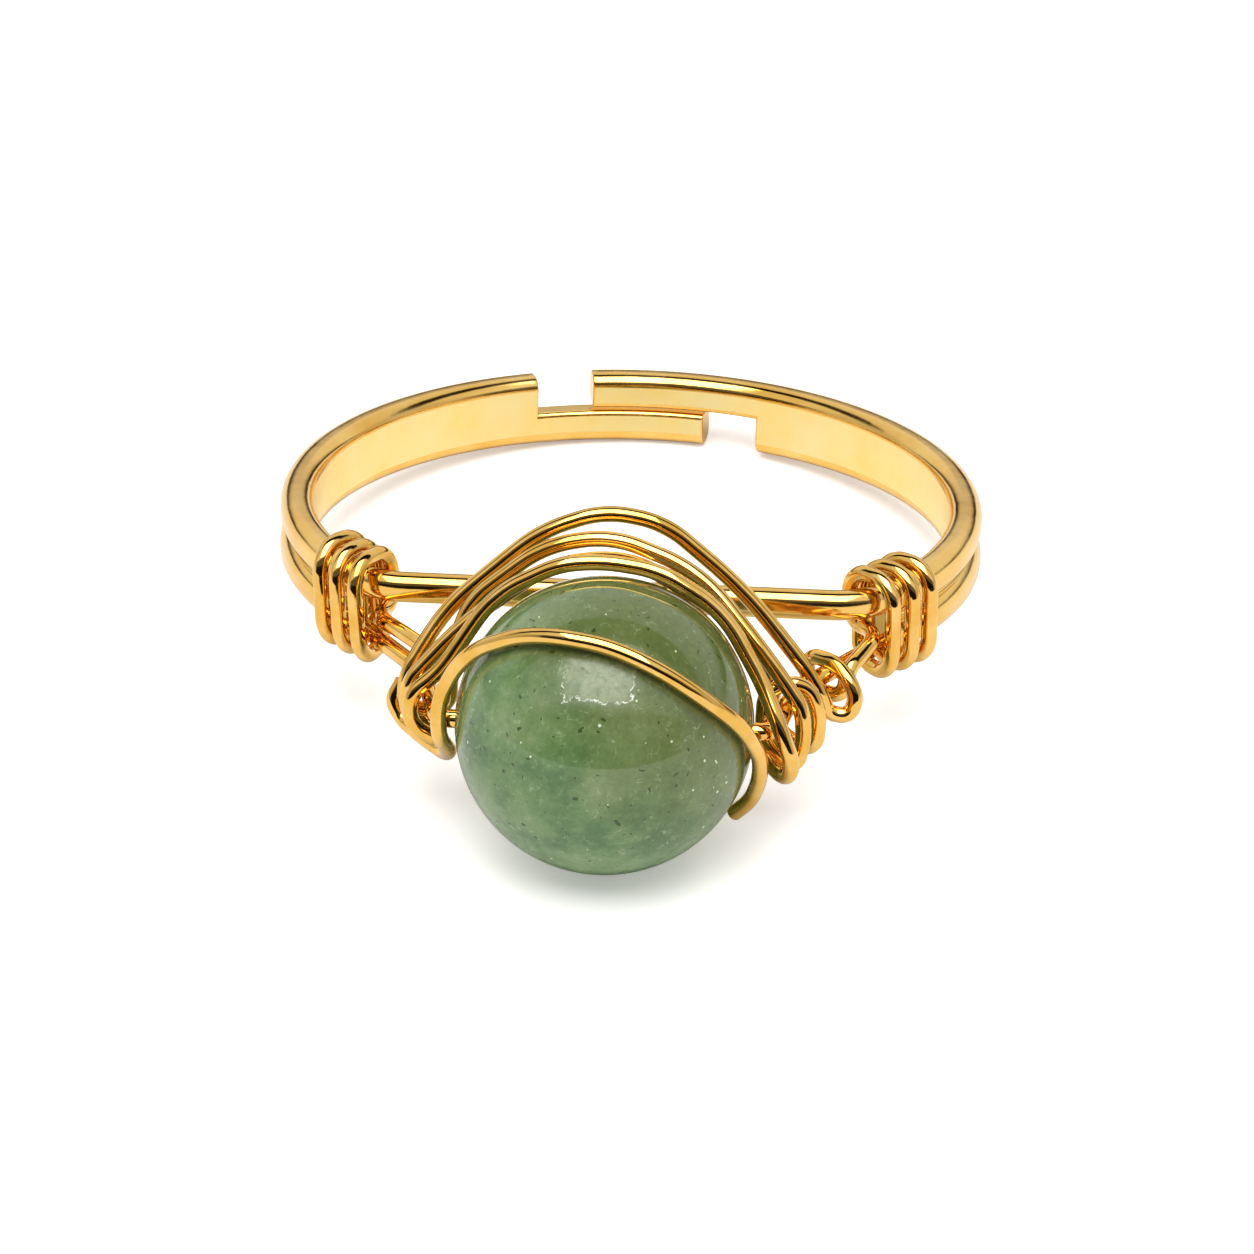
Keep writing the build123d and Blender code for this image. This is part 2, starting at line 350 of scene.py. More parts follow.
def start_group(name, numbers, results):
    """A shader node group with a place, some numbers with their values, and its results."""
    group = bpy.data.node_groups.new(name, "ShaderNodeTree")
    add = group.interface.new_socket
    add("Place", in_out="INPUT", socket_type="NodeSocketVector")
    for title, value in numbers.items():
        add(title, in_out="INPUT", socket_type="NodeSocketFloat").default_value = value
    for title in results:
        add(title, in_out="OUTPUT", socket_type="NodeSocketFloat")
    return group, group.nodes.new("NodeGroupInput"), group.nodes.new("NodeGroupOutput")


def placed_group(tree, group, place, **numbers):
    """A node group in a material, fed with a place and its numbers."""
    node = tree.nodes.new("ShaderNodeGroup")
    node.node_tree = group
    tree.links.new(place, node.inputs["Place"])
    for title, value in numbers.items():
        node.inputs[title.replace("_", " ")].default_value = value
    return node


# %% [markdown]
# Gold plate is never quite even. Handling leaves faint smudges, which change how sharp the
# shine is, and the polish leaves shallow waves. Both come from one node group that each gold
# finish uses with its own values. The group gives a height and a mask, and the bump and the
# shader stay in the material.

# %% A node group for plating marks
wave_detail, wave_roughness = 2.0, 0.45
smudge_detail, smudge_roughness = 4.0, 0.6
smudge_edge = (0.35, 0.7)


def plating_marks():
    """Noise for shallow waves in the metal and for smudges, sized in millimetres."""
    numbers = {"Wave Scale": 1.0, "Smudge Scale": 0.5}
    group, given, result = start_group("plating_marks", numbers, ["Height", "Smudge"])
    place = given.outputs["Place"]
    waves = noise(group, place, given.outputs["Wave Scale"], wave_detail, wave_roughness)
    smudge = noise(group, place, given.outputs["Smudge Scale"], smudge_detail, smudge_roughness)
    group.links.new(waves, result.inputs["Height"])
    group.links.new(fade(group, smudge, *smudge_edge), result.inputs["Smudge"])
    return group


marks = plating_marks()
print("sockets of the group:", [item.name for item in marks.interface.items_tree])


# %% [markdown]
# Three golds share that group. The wires are the brightest and the most worn into soft waves,
# the band's outside is a little duller, and its inner face has a satin finish. That satin gold is
# also paler and brighter than the rest, which paints in the bright light that the inner face
# mirrors. A deep and a pale gold are mixed by the smudges, so that the colour is never quite even.

# %% Gold finishes
def gold_plate(name, deep, pale, polish, smudged, wave_scale, smudge_scale, wave_height):
    """Plated metal that goes from a deep to a pale gold and from polish to smudged."""
    material, tree, shader = start_material(name, Metallic=1.0)
    place = in_millimetres(tree)
    group = placed_group(tree, marks, place, Wave_Scale=wave_scale, Smudge_Scale=smudge_scale)
    smudge = group.outputs["Smudge"]
    bump = add_node(tree, "ShaderNodeBump", Strength=1.0, Distance=wave_height * MM)
    tree.links.new(group.outputs["Height"], bump.inputs["Height"])
    tree.links.new(blend(tree, smudge, deep, pale), shader.inputs["Base Color"])
    tree.links.new(between(tree, smudge, polish, smudged), shader.inputs["Roughness"])
    tree.links.new(bump.outputs["Normal"], shader.inputs["Normal"])
    return material


wire_gold = gold_plate(
    "polished_wire_gold", deep=(0.82, 0.46, 0.08), pale=(0.96, 0.62, 0.20),
    polish=0.04, smudged=0.09, wave_scale=1.1, smudge_scale=0.9, wave_height=0.014,
)
band_gold = gold_plate(
    "polished_band_gold", deep=(0.85, 0.49, 0.10), pale=(0.97, 0.64, 0.20),
    polish=0.09, smudged=0.20, wave_scale=1.1, smudge_scale=0.5, wave_height=0.008,
)
# The satin gold's paler colour is painted brightness: it stands in for the bright light that the inner
# face mirrors.
satin_gold_painted_bright = gold_plate(
    "satin_inner_gold_painted_bright", deep=(1.0, 0.73, 0.24), pale=(1.0, 0.84, 0.42),
    polish=0.30, smudged=0.44, wave_scale=5.0, smudge_scale=0.45, wave_height=0.004,
)
print("golds:", [gold.name for gold in (wire_gold, band_gold, satin_gold_painted_bright)])


# %% [markdown]
# The stone is cloudy: pale and deep greens drift through it, and it turns to olive towards the
# top right. Fine dark flecks, tiny bright platelets and hair-thin flaws lie in it. A picture
# laid on the ball would stretch round the hole, so each of these is a pattern in space. Their
# colours and the noises behind them are kept together here.

# %% Colours and noises of the stone
leaf_deep, leaf, leaf_pale = (0.070, 0.140, 0.048), (0.130, 0.215, 0.083), (0.220, 0.300, 0.145)
olive = (0.098, 0.114, 0.030)
fleck_dark, platelet, flaw_pale = (0.030, 0.045, 0.012), (0.62, 0.74, 0.55), (0.36, 0.44, 0.27)
# The crack's milky tint is partly painted reflection of the overhead panel, and its bright colour is a
# painted glint.
milky_and_reflection, painted_glint = (0.33, 0.37, 0.22), (0.85, 0.88, 0.78)
bead_middle = (bead_low + bead_high) / 2

# Each row has the waves a millimetre, the finer octaves and their strength.
stone_noises = {
    "clouds": (0.42, 6.0, 0.66),
    "drift": (0.5, 4.0, 0.6),
    "grain": (7.0, 4.0, 0.7),
    "warp": (1.8, 3.0, 0.5),
    "breaks": (3.4, 2.0, 0.5),
    "streaks": (3.5, 4.0, 0.7),
    "jag": (1.4, 6.0, 0.72),
}


def pushed(tree, place, amount, name):
    """A place that one of the stone's noises pushes about. The mean push is half the amount."""
    node = add_node(tree, "ShaderNodeVectorMath", operation="MULTIPLY_ADD")
    tree.links.new(noise(tree, place, *stone_noises[name], "Color"), node.inputs[0])
    feed(tree, amount, node.inputs[1])
    tree.links.new(place, node.inputs[2])
    return node.outputs["Vector"]


print("noises of the stone:", list(stone_noises))


# %% [markdown]
# Flecks and platelets are the same thing in two colours: small specks scattered through the
# stone. One node group makes both. It fills space with cells, puts a speck at the heart of
# some of them and makes each as large as the cell's own colour says.

# %% A node group for flecks
def flecks():
    """A mask of small specks: so many cells a millimetre, a radius and the share kept."""
    numbers = {"Cells": 2.5, "Radius": 0.05, "Kept": 0.4}
    group, given, result = start_group("stone_flecks", numbers, ["Mask"])
    cells = group.nodes.new("ShaderNodeTexVoronoi")
    group.links.new(given.outputs["Place"], cells.inputs["Vector"])
    group.links.new(given.outputs["Cells"], cells.inputs["Scale"])
    parts = group.nodes.new("ShaderNodeSeparateColor")
    group.links.new(cells.outputs["Color"], parts.inputs["Color"])
    widest = reckon(group, "MULTIPLY", given.outputs["Radius"], given.outputs["Cells"])
    size = reckon(group, "MULTIPLY", widest, parts.outputs["Green"])
    inside = reckon(group, "LESS_THAN", cells.outputs["Distance"], size)
    kept = reckon(group, "LESS_THAN", parts.outputs["Red"], given.outputs["Kept"])
    group.links.new(reckon(group, "MULTIPLY", inside, kept), result.inputs["Mask"])
    return group


fleck_group = flecks()
print("sockets of the group:", [item.name for item in fleck_group.interface.items_tree])


# %% [markdown]
# One healed crack near the top of the stone has a milky patch with a jagged bright edge, and
# the polish is duller around it. The patch's pale tint is partly the crack's own milkiness and
# partly painted reflection of the overhead panel, and the bright edge is a painted glint. A crack
# could be cut into the mesh, but this one leaves the surface whole. So it is a box in space, in
# millimetres, whose sides a noise pushes out of shape. The masks go by the distance from its
# middle, as a share of its half size.

# %% A node group for the healed crack and its painted glint
crack_turn = radians(-39)
crack_half_width, crack_half_height = 0.95, 0.6
# The milky mask is partly painted reflection, and the line along the edge is a painted glint.
milk_and_reflection_edge, dull_edge = (1.02, 0.92), (1.7, 1.2)
glint_line_edge = (0.05, 0.01)
glint_line_fade = (0.6 * crack_half_height, -0.5 * crack_half_height)


def crack_and_painted_glint():
    """A milky patch, partly painted reflection, and a painted glint along its jagged edge, only where
    the turned place lies above 0 along Z.
    """
    group, given, result = start_group("crack_and_painted_glint", {"Jag": 0.5}, ["Milk And Reflection", "Glint", "Rough"])
    jag = given.outputs["Jag"]
    parts = group.nodes.new("ShaderNodeSeparateXYZ")
    group.links.new(pushed(group, given.outputs["Place"], jag, "jag"), parts.inputs[0])
    mean_push = reckon(group, "MULTIPLY", jag, 0.5)
    across = reckon(group, "SUBTRACT", parts.outputs["X"], mean_push)
    along = reckon(group, "SUBTRACT", parts.outputs["Y"], mean_push)
    far_across = reckon(group, "DIVIDE", reckon(group, "ABSOLUTE", across), crack_half_width)
    far_along = reckon(group, "DIVIDE", reckon(group, "ABSOLUTE", along), crack_half_height)
    far = reckon(group, "MAXIMUM", far_across, far_along)
    from_side = reckon(group, "ABSOLUTE", reckon(group, "SUBTRACT", far, 1.0))
    near_side = reckon(group, "GREATER_THAN", parts.outputs["Z"], 0.0)
    glint_line = reckon(group, "MULTIPLY", fade(group, from_side, *glint_line_edge), fade(group, along, *glint_line_fade))
    masks = {
        "Milk And Reflection": fade(group, far, *milk_and_reflection_edge),
        "Glint": glint_line,
        "Rough": fade(group, far, *dull_edge),
    }
    for title, mask in masks.items():
        group.links.new(reckon(group, "MULTIPLY", mask, near_side), result.inputs[title])
    return group


crack_group = crack_and_painted_glint()
print("sockets of the group:", [item.name for item in crack_group.interface.items_tree])


# %% [markdown]
# The stone's colour is built up in layers, from the clouds at the bottom to the painted glints
# of the crack on top. Each layer takes the colour so far and gives it back with more on it. A
# pushed place bends the flaws and the dark flecks, as if the stone had been kneaded.

# %% Layers of the stone
# A pair says where a mask starts and where it is full.
deep_to_leaf, leaf_to_pale = (0.36, 0.5), (0.5, 0.68)
olive_drift, olive_edge, olive_most = 6.0, (2.0, 8.0), 0.8
flaw_cells, flaw_line, flaw_breaks, flaw_most = 2.6, (0.03, 0.008), (0.54, 0.62), 0.45
fleck_most, platelet_most = 0.85, 0.8
# The milky streaks are partly painted reflection, and the glints are a painted highlight.
streak_edge, milky_and_reflection_most = (0.38, 0.62), 0.42
glint_edge, glint_most = (0.40, 0.55), 0.9


def cloudy_greens(tree, place):
    """Deep, middle and pale green by one noise, and olive towards the upper right."""
    clouds = noise(tree, place, *stone_noises["clouds"])
    dim = blend(tree, fade(tree, clouds, *deep_to_leaf), leaf_deep, leaf)
    greens = blend(tree, fade(tree, clouds, *leaf_to_pale), dim, leaf_pale)
    parts = tree.nodes.new("ShaderNodeSeparateXYZ")
    tree.links.new(place, parts.inputs[0])
    upper_right = reckon(tree, "ADD", parts.outputs["X"], parts.outputs["Z"])
    drift = reckon(tree, "MULTIPLY", noise(tree, place, *stone_noises["drift"]), olive_drift)
    olive_share = fade(tree, reckon(tree, "ADD", upper_right, drift), *olive_edge)
    return blend(tree, olive_share, greens, olive, most=olive_most)


def with_flaws(tree, colour, place, bent_place):
    """Hair-thin pale lines along the seams between cells, broken off here and there."""
    seams = add_node(tree, "ShaderNodeTexVoronoi", feature="DISTANCE_TO_EDGE", Scale=flaw_cells)
    tree.links.new(bent_place, seams.inputs["Vector"])
    lines = fade(tree, seams.outputs["Distance"], *flaw_line)
    broken = fade(tree, noise(tree, place, *stone_noises["breaks"]), *flaw_breaks)
    flaws = reckon(tree, "MULTIPLY", lines, broken)
    return blend(tree, flaws, colour, flaw_pale, most=flaw_most)


def with_flecks(tree, colour, place, bent_place):
    """Dark flecks, and smaller bright platelets over them."""
    dark = placed_group(tree, fleck_group, bent_place, Cells=3.1, Radius=0.075, Kept=0.8)
    bright = placed_group(tree, fleck_group, place, Cells=3.3, Radius=0.045, Kept=0.4)
    colour = blend(tree, dark.outputs["Mask"], colour, fleck_dark, most=fleck_most)
    return blend(tree, bright.outputs["Mask"], colour, platelet, most=platelet_most)


def with_crack(tree, colour, crack, bent_place, grain):
    """The crack's milky streaks, partly painted reflection, and painted glints along its edge."""
    streaks = fade(tree, noise(tree, bent_place, *stone_noises["streaks"]), *streak_edge)
    milk_and_reflection = reckon(tree, "MULTIPLY", crack.outputs["Milk And Reflection"], streaks)
    colour = blend(tree, milk_and_reflection, colour, milky_and_reflection, most=milky_and_reflection_most)
    glints = reckon(tree, "MULTIPLY", crack.outputs["Glint"], fade(tree, grain, *glint_edge))
    return blend(tree, glints, colour, painted_glint, most=glint_most)


# %% Green stone
stone_index = 1.52
light_through, light_depth, light_tint = 0.3, 0.8, (0.7, 1.0, 0.5)
warp_push = 0.8
grain_share = 0.35
crack_jag = 1.0
stone_polish, crack_dullness = 0.035, 0.28


def green_stone():
    """Mottled green stone with flecks, platelets, hair-thin flaws and a healed crack, whose milky patch
    is partly painted reflection and whose edge has a painted glint.
    """
    material, tree, shader = start_material(
        "green_stone", IOR=stone_index, Subsurface_Weight=light_through,
        Subsurface_Radius=light_tint, Subsurface_Scale=light_depth * MM,
    )
    place = in_millimetres(tree, bead_middle)
    bent_place = pushed(tree, place, (warp_push, warp_push, warp_push), "warp")
    grain = noise(tree, place, *stone_noises["grain"])
    turned = tree.nodes.new("ShaderNodeMapping")
    turned.inputs["Rotation"].default_value = (crack_turn, 0, 0)
    tree.links.new(place, turned.inputs["Vector"])
    crack = placed_group(tree, crack_group, turned.outputs["Vector"], Jag=crack_jag)

    colour = cloudy_greens(tree, place)
    colour = blend(tree, grain_share, colour, grain, blend_type="OVERLAY")
    colour = with_flaws(tree, colour, place, bent_place)
    colour = with_flecks(tree, colour, place, bent_place)
    # The crack adds a milky tint that is partly painted reflection, and a painted glint along its edge.
    colour = with_crack(tree, colour, crack, bent_place, grain)
    rough = between(tree, crack.outputs["Rough"], stone_polish, crack_dullness)
    tree.links.new(colour, shader.inputs["Base Color"])
    tree.links.new(rough, shader.inputs["Roughness"])
    return material


stone = green_stone()
print("nodes in the stone:", len(stone.node_tree.nodes))


# %% [markdown]
# A wire is a route with rounded corners and a round section. The route is a short list of
# corners, as a maker plans bends, and Geometry Nodes does the rest: it rounds each corner by
# the radius kept with it, sweeps the section, closes the ends and sets the finish. A curve
# with a bevel would do too, but then the handles at each corner have to be set by hand.

# %% A node tree that bends a wire along its corners
bend_steps = 12
thin_wire_steps = 6
thick_wire_steps = 8
nearly_round = 0.999


def wire_tree():
    """Mesh corners in, a swept and capped wire out. Sizes are in millimetres."""
    tree = bpy.data.node_groups.new("bent_wire", "GeometryNodeTree")
    tree.is_modifier = True
    add = tree.interface.new_socket
    add("Geometry", in_out="INPUT", socket_type="NodeSocketGeometry")
    sizes = {"Width": wire_diameter, "Height": wire_diameter, "Corner Radius": wire_radius}
    for name, value in sizes.items():
        add(name, in_out="INPUT", socket_type="NodeSocketFloat").default_value = value
    for name, count in {"Bend Steps": bend_steps, "Corner Steps": thin_wire_steps}.items():
        add(name, in_out="INPUT", socket_type="NodeSocketInt").default_value = count
    add("Upright", in_out="INPUT", socket_type="NodeSocketBool").default_value = False
    add("Finish", in_out="INPUT", socket_type="NodeSocketMaterial")
    add("Geometry", in_out="OUTPUT", socket_type="NodeSocketGeometry")
    given = tree.nodes.new("NodeGroupInput")
    result = tree.nodes.new("NodeGroupOutput")
    bend = add_node(tree, "GeometryNodeInputNamedAttribute", data_type="FLOAT", Name="bend")
    route = tree.nodes.new("GeometryNodeMeshToCurve")
    rounded = add_node(tree, "GeometryNodeFilletCurve", mode="POLY")
    upright = add_node(tree, "GeometryNodeSetCurveNormal", mode="Z_UP")
    section = tree.nodes.new("GeometryNodeCurvePrimitiveQuadrilateral")
    section_round = add_node(tree, "GeometryNodeFilletCurve", mode="POLY")
    swept = tree.nodes.new("GeometryNodeCurveToMesh")
    swept.inputs["Fill Caps"].default_value = True
    shaded = tree.nodes.new("GeometryNodeSetShadeSmooth")
    real = tree.nodes.new("GeometryNodeRealizeInstances")
    finished = tree.nodes.new("GeometryNodeSetMaterial")
    links = (
        (given, "Geometry", route, "Mesh"),
        (route, "Curve", rounded, "Curve"),
        (bend, "Attribute", rounded, "Radius"),
        (given, "Bend Steps", rounded, "Count"),
        (rounded, "Curve", upright, "Curve"),
        (given, "Upright", upright, "Selection"),
        (upright, "Curve", swept, "Curve"),
        (given, "Width", section, "Width"),
        (given, "Height", section, "Height"),
        (section, "Curve", section_round, "Curve"),
        (given, "Corner Radius", section_round, "Radius"),
        (given, "Corner Steps", section_round, "Count"),
        (section_round, "Curve", swept, "Profile Curve"),
        (swept, "Mesh", shaded, "Geometry"),
        (shaded, "Geometry", real, "Geometry"),
        (real, "Geometry", finished, "Geometry"),
        (given, "Finish", finished, "Material"),
        (finished, "Geometry", result, "Geometry"),
    )
    for start, output, end, entry in links:
        tree.links.new(start.outputs[output], end.inputs[entry])
    return tree


bent_wire_tree = wire_tree()
print("nodes in the wire's tree:", len(bent_wire_tree.nodes))


# %% Bend one wire
def made_plain(piece):
    """Turn what the modifiers give into a plain mesh, and bring it to the row's frame."""
    evaluated = piece.evaluated_get(bpy.context.evaluated_depsgraph_get())
    mesh = bpy.data.meshes.new_from_object(evaluated)
    mesh.name = piece.name
    piece.modifiers.clear()
    piece.data = mesh
    mesh.transform(ring_place)
    print(piece.name, len(mesh.polygons), "faces")


def bent_wire(name, corners, bends, size, corner_radius, finish, steps, upright=False):
    """A wire object, swept along rounded corners and brought to the row's frame. The size is
    the section's depth and height, and an upright section keeps its height along the axis."""
    mesh = bpy.data.meshes.new(name + "_route")
    mesh.from_pydata(corners, [(n, n + 1) for n in range(len(corners) - 1)], [])
    radius = mesh.attributes.new("bend", "FLOAT", "POINT")
    radius.data.foreach_set("value", [0.0, *bends, 0.0])
    wire = bpy.data.objects.new(name, mesh)
    bpy.context.scene.collection.objects.link(wire)
    modifier = wire.modifiers.new("bend", "NODES")
    modifier.node_group = bent_wire_tree
    chosen = {
        "Width": size[0], "Height": size[1], "Corner Radius": corner_radius,
        "Bend Steps": bend_steps, "Corner Steps": steps, "Upright": upright, "Finish": finish,
    }
    for item in bent_wire_tree.interface.items_tree:
        if item.in_out == "INPUT" and item.name in chosen:
            modifier[item.identifier] = chosen[item.name]
    made_plain(wire)
    return wire


# %% [markdown]
# The core wire and the bar are both bent from a straight piece, the same to the right and to
# the left. Each starts inside the arm that it is soldered to. The core wire comes forward from
# the arm to a knee, and on to a corner beside the bead, where it turns into the hole. The bar
# goes on in line with the arm's end, then turns and crosses behind the bead.

# %% Where the core wire and the bar run
def band_point(angle, radius, rise):
    """A point by its angle from the front, to the right, and its distance from the axis."""
    return (radius * sin(radians(angle)), -radius * cos(radians(angle)), rise)


def pulled_back(point, towards, length):
    """A point that lies behind this one, seen from the point that the wire runs towards."""
    run = Vector(towards) - Vector(point)
    return tuple(Vector(point) - run.normalized() * length)


def mirrored(points):
    """The points of the right side, then the same points on the left side, in order."""
    return points + [(-x, y, z) for x, y, z in reversed(points)]


core_root = band_point(arm_front_angle, middle_radius, -core_root_drop)
core_knee = (core_knee_across, -core_knee_forward, -(core_root_drop + bead_drop) / 2)
core_corner = (bead_radius + core_stand_off, -bead_forward, -bead_drop)
core_start = pulled_back(core_root, core_knee, root_depth)
core_points = mirrored([core_start, core_knee, core_corner])
core_radii = [core_knee_bend, core_bend, core_bend, core_knee_bend]

bar_root = band_point(arm_front_angle, middle_radius, bar_rise)
bar_heading = band_point(arm_front_angle - 90, 1, 0)
bar_run = (bar_forward + bar_root[1]) / -bar_heading[1]
bar_corner = (bar_root[0] + bar_run * bar_heading[0], -bar_forward, bar_rise)
bar_start = pulled_back(bar_root, bar_corner, root_depth)
bar_points = mirrored([bar_start, bar_corner])
print("the knee of the core wire:", [round(side, 2) for side in core_knee])
print("the corner of the bar:", [round(side, 2) for side in bar_corner])


# %% [markdown]
# The corners of the thin wires are kept the way they are wound: beside the core wire, as a
# share of its run and so many reaches out and up, or around the bead, as shares of its
# radius. A reach is the least distance between the middles of both wires. A change of the
# bead or the band then moves the winding with it. Plain coordinates would be simpler, but
# they would have to be found again after each such change.

# %% Rules for the winding
turn_corners = [
    (coil_inside, coil_lift),
    (coil_inside, -coil_lift),
    (coil_outside, -coil_lift),
    (coil_outside, coil_lift),
]


def coil_points(side, angle, lean, skew, extra_turns):
    """The corners of a coil's turns, from its outer end towards the bead, and of the part of
    a turn that leads on from there. The lean turns the upper corners away from the bead, and
    the skew does so with the inner ones. The last point is the fork, where the wire comes out
    between the bar and the core wire."""
    each_turn = len(turn_corners)
    points = []
    for number in range(1, round(each_turn * (coil_turns + extra_turns))):
        radius, rise = turn_corners[number % each_turn]
        turned = 2 * number / (each_turn * coil_turns) - 1
        aslant = lean * rise / coil_lift + (skew if radius == coil_inside else 0)
        x, y, z = band_point(angle - coil_half_angle * turned + aslant, radius, rise)
        points.append((side * x, y, z))
    x, y, z = band_point(angle - coil_half_angle + skew, coil_inside, -fork_drop)
    return points + [(side * x, y, z)]


def beside_core(side, share, out, up):
    """A place beside the core wire: its share of the way from the arm to the bead's hole,
    then outwards and upwards in reaches, the least distance between both wires' middles."""
    forward = -core_root[1] + share * (bead_forward + core_root[1])
    before_knee = forward < core_knee_forward
    near, far = (core_root, core_knee) if before_knee else (core_knee, core_corner)
    part_way = (forward + near[1]) / (near[1] - far[1])
    run = Vector(far) - Vector(near)
    middle = Vector(near) + run * part_way
    outward = Vector((-run.y, run.x, 0)).normalized()
    place = middle + outward * (out * reach) + Vector((0, 0, up * reach))
    return (side * place.x, place.y, place.z)


def beside_bead(across, forward, up):
    """A place by its offset from the middle of the bead, in shares of the bead's radius."""
    return (
        across * bead_radius,
        -bead_forward - forward * bead_radius,
        -bead_drop + up * bead_radius,
    )


def places(rows):
    """The corners of a wire's route, from rows of a rule and its values."""
    rules = {"core": beside_core, "bead": beside_bead}
    return [rules[rule](*values) for rule, *values in rows]


def widest_bends(points):
    """For each corner the widest bend that its two runs allow."""
    radii = []
    for before, corner, after in zip(points, points[1:], points[2:]):
        run_in = Vector(corner) - Vector(before)
        run_out = Vector(after) - Vector(corner)
        half_turn = run_in.angle(run_out) / 2
        radii.append(bend_share * min(run_in.length, run_out.length) / tan(half_turn))
    return radii


print(coil_turns, "turns in a coil of", round(2 * coil_half_angle, 1), "degrees")


# %% [markdown]
# Each row below is one corner of a wire, in the order in which it is wound, and each list is
# one stretch of it. After the rule's name come its values: for the core wire the side (1 right,
# -1 left), the share of its run, and how far out and up in reaches, and for the bead how far
# across, forward and up in radii. The rows were chosen strand by strand.

# %% Corners of the wrapping wire
first_loop = [
    ("core", 1, 0.13, 0.8, 1.2),
    ("core", 1, 0.345, 1.1, 0.4),
    ("core", 1, 0.37, 1.05, -1.05),
    ("core", 1, 0.38, -1.05, -1.05),
    ("core", 1, 0.40, -1.0, 1.02),
    ("core", 1, 0.425, 1.1, 1.15),
    ("core", 1, 0.44, 2.15, 0.45),
    ("core", 1, 0.44, 2.6, -0.35),
    ("core", 1, 0.455, 2.35, -1.35),
    ("core", 1, 0.50, 1.45, -1.2),
    ("core", 1, 0.53, 1.35, -0.15),
]
highest_strand = [
    ("bead", 1.306, -0.68, 0.19),
    ("bead", 0.884, -0.75, 0.701),
    ("bead", 0.334, -0.78, 1.155),
    ("bead", -0.07, -0.78, 1.225),
    ("bead", -0.501, -0.75, 1.07),
    ("bead", -1.11, -0.70, 0.519),
]
first_left_turn = [
    ("core", -1, 0.665, 1.15, 0.75),
    ("core", -1, 0.67, 1.25, -1.3),
    ("core", -1, 0.685, -1.1, -1.3),
    ("core", -1, 0.70, -1.1, 0.9),
]
upper_pair_first = [
    ("bead", -0.98, -0.62, 0.58),
    ("bead", -0.456, -0.60, 1.03),
    ("bead", -0.009, -0.60, 1.12),
    ("bead", 0.589, -0.50, 0.93),
    ("bead", 1.06, -0.25, 0.44),
]
right_turns = [
    ("core", 1, 0.87, 1.15, 0.75),
    ("core", 1, 0.875, 1.3, -0.9),
    ("core", 1, 0.865, 0.85, -2.8),
    ("core", 1, 0.80, -1.1, -1.6),
    ("core", 1, 0.76, -1.1, 1.15),
    ("core", 1, 0.70, 0.9, 1.25),
    ("core", 1, 0.69, 1.6, -0.3),
    ("core", 1, 0.68, 1.4, -2.9),
    ("core", 1, 0.62, -1.1, -1.8),
    ("core", 1, 0.60, -1.1, 0.8),
]
upper_pair_second = [
    ("bead", 1.00, -0.64, 0.36),
    ("bead", 0.62, -0.56, 0.70),
    ("bead", 0.10, -0.47, 1.03),
    ("bead", -0.42, -0.46, 0.95),
    ("bead", -0.98, -0.42, 0.52),
]
second_left_turn = [
    ("core", -1, 0.76, 1.2, 0.7),
    ("core", -1, 0.76, 1.2, -1.2),
    ("core", -1, 0.78, -0.4, -1.9),
    ("core", -1, 0.885, -0.4, -1.9),
    ("core", -1, 0.87, 1.2, -1.0),
    ("core", -1, 0.88, 1.2, 0.7),
]
lowest_strand = [
    ("bead", -1.10, -0.22, 0.27),
    ("bead", -0.766, -0.28, 0.80),
    ("bead", -0.333, -0.25, 1.045),
    ("bead", -0.035, -0.25, 1.075),
    ("bead", 0.335, -0.20, 1.045),
    ("bead", 0.76, -0.15, 0.80),
    ("bead", 1.05, 0.00, 0.34),
    ("bead", 1.17, 0.14, 0.10),
]
right_end = [
    ("bead", 1.27, 0.16, -0.16),
    ("core", 1, 1.0, 0.75, -2.6),
    ("core", 1, 0.88, -0.9, -2.0),
]
wrap_rows = (
    first_loop + highest_strand + first_left_turn + upper_pair_first + right_turns
    + upper_pair_second + second_left_turn + lowest_strand + right_end
)
right_coil = (right_coil_angle, right_lean, right_skew, right_extra_turns)
wrap_points = coil_points(1, *right_coil) + places(wrap_rows)
print("corners of the wrapping wire:", len(wrap_points))


# %% Corners of the two other thin wires
strut_run = [
    ("core", -1, 0.193, 0.0, 1.16),
    ("core", -1, 0.345, -0.1, 1.25),
    ("core", -1, 0.52, -0.15, 1.3),
]
tucked_tail = [
    ("core", -1, 0.50, 0.90, -0.55),
    ("core", -1, 0.49, 1.45, -1.6),
    ("core", -1, 0.56, 1.1, -2.6),
    ("core", -1, 0.70, 0.3, -2.75),
    ("core", -1, 0.84, -0.75, -2.9),
]
front_strand = [
    ("bead", -1.04, -0.12, -0.285),
    ("bead", -1.10, 0.15, -0.06),
    ("bead", -1.10, 0.15, 0.20),
    ("bead", -0.98, 0.20, 0.47),
    ("bead", -0.83, 0.30, 0.65),
    ("bead", -0.55, 0.47, 0.82),
    ("bead", -0.30, 0.60, 0.88),
    ("bead", 0.05, 0.68, 0.86),
    ("bead", 0.38, 0.72, 0.73),
    ("bead", 0.69, 0.68, 0.51),
    ("bead", 0.93, 0.50, 0.25),
    ("bead", 1.055, 0.28, -0.06),
    ("bead", 1.05, 0.16, -0.28),
    ("bead", 0.99, 0.02, -0.49),
    ("bead", 0.88, -0.10, -0.64),
]
left_coil = (left_coil_angle, left_lean, left_skew, left_extra_turns)
strut_points = coil_points(-1, *left_coil) + places(strut_run)
front_points = places(tucked_tail + front_strand)
print("corners of the other two:", len(strut_points), len(front_points))


# %% [markdown]
# Three lengths of thin wire hold the bead. The first is coiled on the right arm, looped round
# the core wire and led back and forth over the bead. The second is coiled on the left arm and
# ends beside the core wire. The third passes over the front of the bead, with its tail tucked
# under the left turns. Each is one piece of metal on the real ring, so each is one mesh here.

